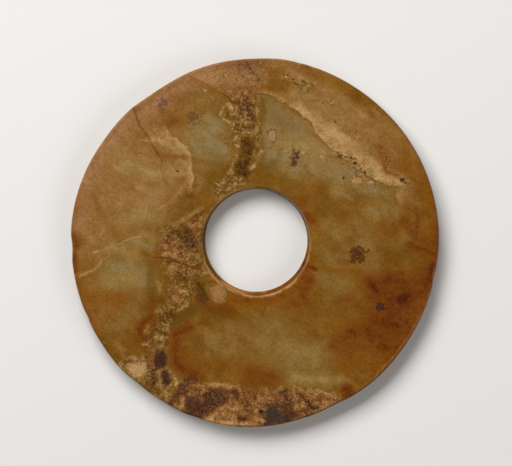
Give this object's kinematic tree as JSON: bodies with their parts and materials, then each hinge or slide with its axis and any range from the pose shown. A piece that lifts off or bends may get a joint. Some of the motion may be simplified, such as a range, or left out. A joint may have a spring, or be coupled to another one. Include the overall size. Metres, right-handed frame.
{
  "type": "bi disc",
  "caption": "Flat ring of polished, stained nephrite with a wide round hole drilled through its middle and a slightly irregular rim.",
  "frame": {"origin": "under the middle of the disc's outline, on the plane that its back face rests on", "axes": "+Z along the ring's axis, out of the front face; +Y towards the top of the face as pictured; +X towards its right"},
  "size_m": [0.2004, 0.2008, 0.012],
  "materials": {
    "nephrite": "satin"
  },
  "bodies": {
    "root": {"jade_disc": "nephrite"}
  },
  "joints": []
}
